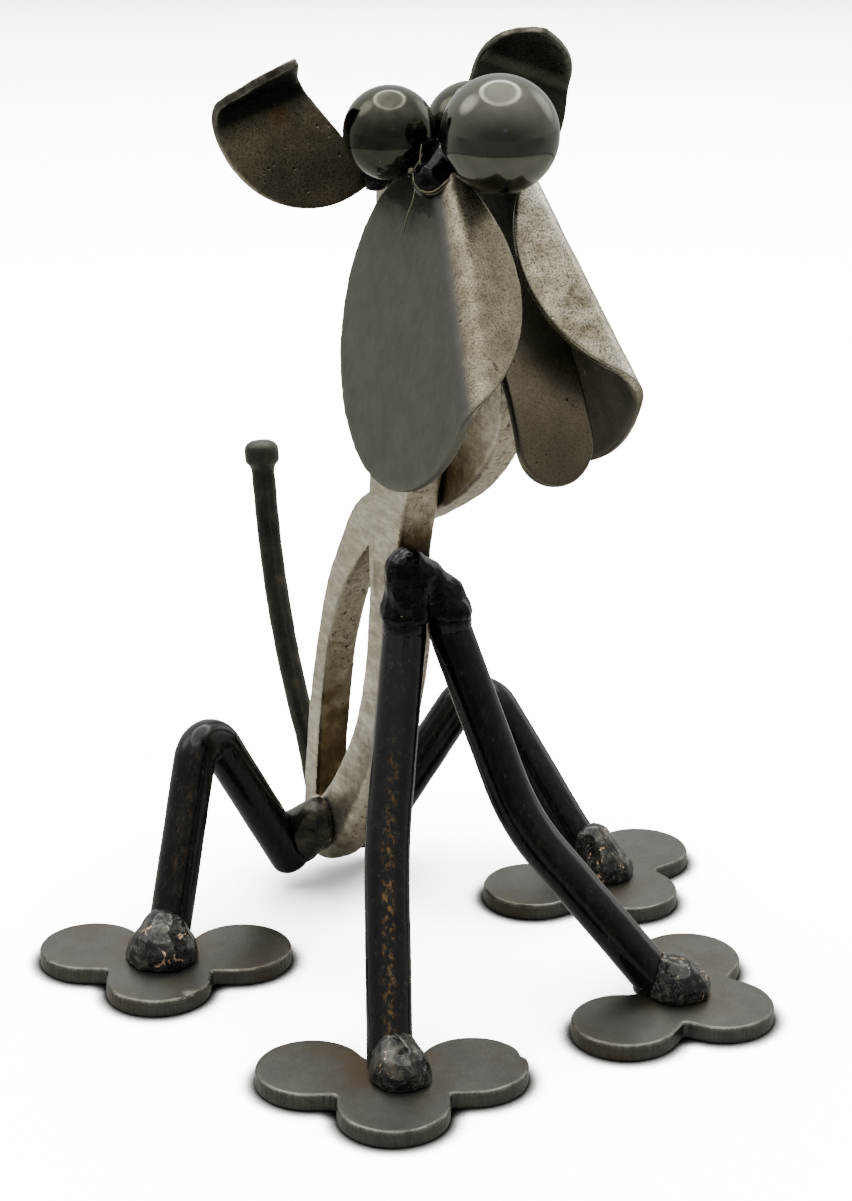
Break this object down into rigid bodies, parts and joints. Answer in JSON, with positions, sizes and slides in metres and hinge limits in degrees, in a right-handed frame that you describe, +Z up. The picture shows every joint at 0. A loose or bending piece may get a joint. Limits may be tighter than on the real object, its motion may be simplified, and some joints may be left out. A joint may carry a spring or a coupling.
{
  "type": "scrap metal dog sculpture",
  "caption": "Small seated dog sculpture welded from scissor halves, steel balls, bent rods and folded plate, on clover-shaped paws.",
  "frame": {"origin": "on the surface it stands on, below the centre of the bounding box", "axes": "+Z up, the dog faces -Y, its right side is at -X"},
  "size_m": [0.1322, 0.1305, 0.1704],
  "materials": {
    "ball_steel": "dark polished bearing steel with soft scuffs",
    "forged_steel": "ground forged steel with heat tint near the welds",
    "black_rod": "smooth black mill finish, semi-gloss, light rust streaks",
    "scaled_plate": "grey-brown mill-scaled plate, finely speckled and pitted",
    "nail_steel": "dull brown-grey nail steel",
    "weld": "dark glossy weld bead, wrinkled"
  },
  "bodies": {
    "root": {"body_bow": "forged_steel", "throat_bow": "forged_steel", "nose_ball": "ball_steel", "eye_right": "ball_steel", "eye_left": "ball_steel", "jowl_right": "scaled_plate", "jowl_left": "scaled_plate", "ear_right": "scaled_plate", "ear_left": "scaled_plate", "tongue": "scaled_plate", "tail_nail": "nail_steel", "leg_front_right": "black_rod", "leg_front_left": "black_rod", "leg_rear_right": "black_rod", "leg_rear_left": "black_rod", "paw_front_right": "scaled_plate", "paw_front_left": "scaled_plate", "paw_rear_right": "scaled_plate", "paw_rear_left": "scaled_plate", "weld_shoulder": "weld", "weld_head": "weld", "weld_hip_right": "weld", "weld_hip_left": "weld", "weld_ear_right": "weld", "weld_ear_left": "weld", "weld_ankle_front_right": "weld", "weld_ankle_front_left": "weld", "weld_ankle_rear_right": "weld", "weld_ankle_rear_left": "weld"}
  },
  "joints": []
}
